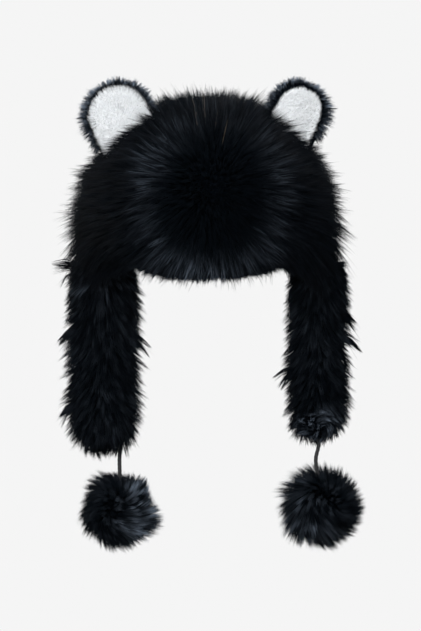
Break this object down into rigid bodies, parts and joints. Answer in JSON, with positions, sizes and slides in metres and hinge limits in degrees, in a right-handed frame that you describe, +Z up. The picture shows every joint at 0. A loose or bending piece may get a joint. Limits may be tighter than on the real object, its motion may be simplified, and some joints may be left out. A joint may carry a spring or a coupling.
{
  "type": "faux fur animal beanie",
  "caption": "Deep-pile cap with round plush ears, long shaggy side flaps and a fur pompom hung on a cord below each flap.",
  "frame": {"origin": "where the crown of the wearer's head meets the inside of the cap, at the top of its hollow", "axes": "+Z up as worn, -Y out of the face side, +X to the right seen from the front"},
  "size_m": [0.3006, 0.2998, 0.4744],
  "materials": {
    "black_fur": "long faux fur",
    "black_cloth": "plain cloth backing",
    "white_plush": "short plush",
    "black_cord": "twisted yarn"
  },
  "bodies": {
    "root": {"cap": "black_cloth", "cap_fur": "black_fur", "ear_left": "black_fur", "ear_right": "black_fur", "ear_inner_left": "white_plush", "ear_inner_right": "white_plush", "flap_left": "black_fur", "flap_right": "black_fur", "cord_left": "black_cord", "cord_right": "black_cord", "pompom_left": "black_fur", "pompom_right": "black_fur"}
  },
  "joints": []
}
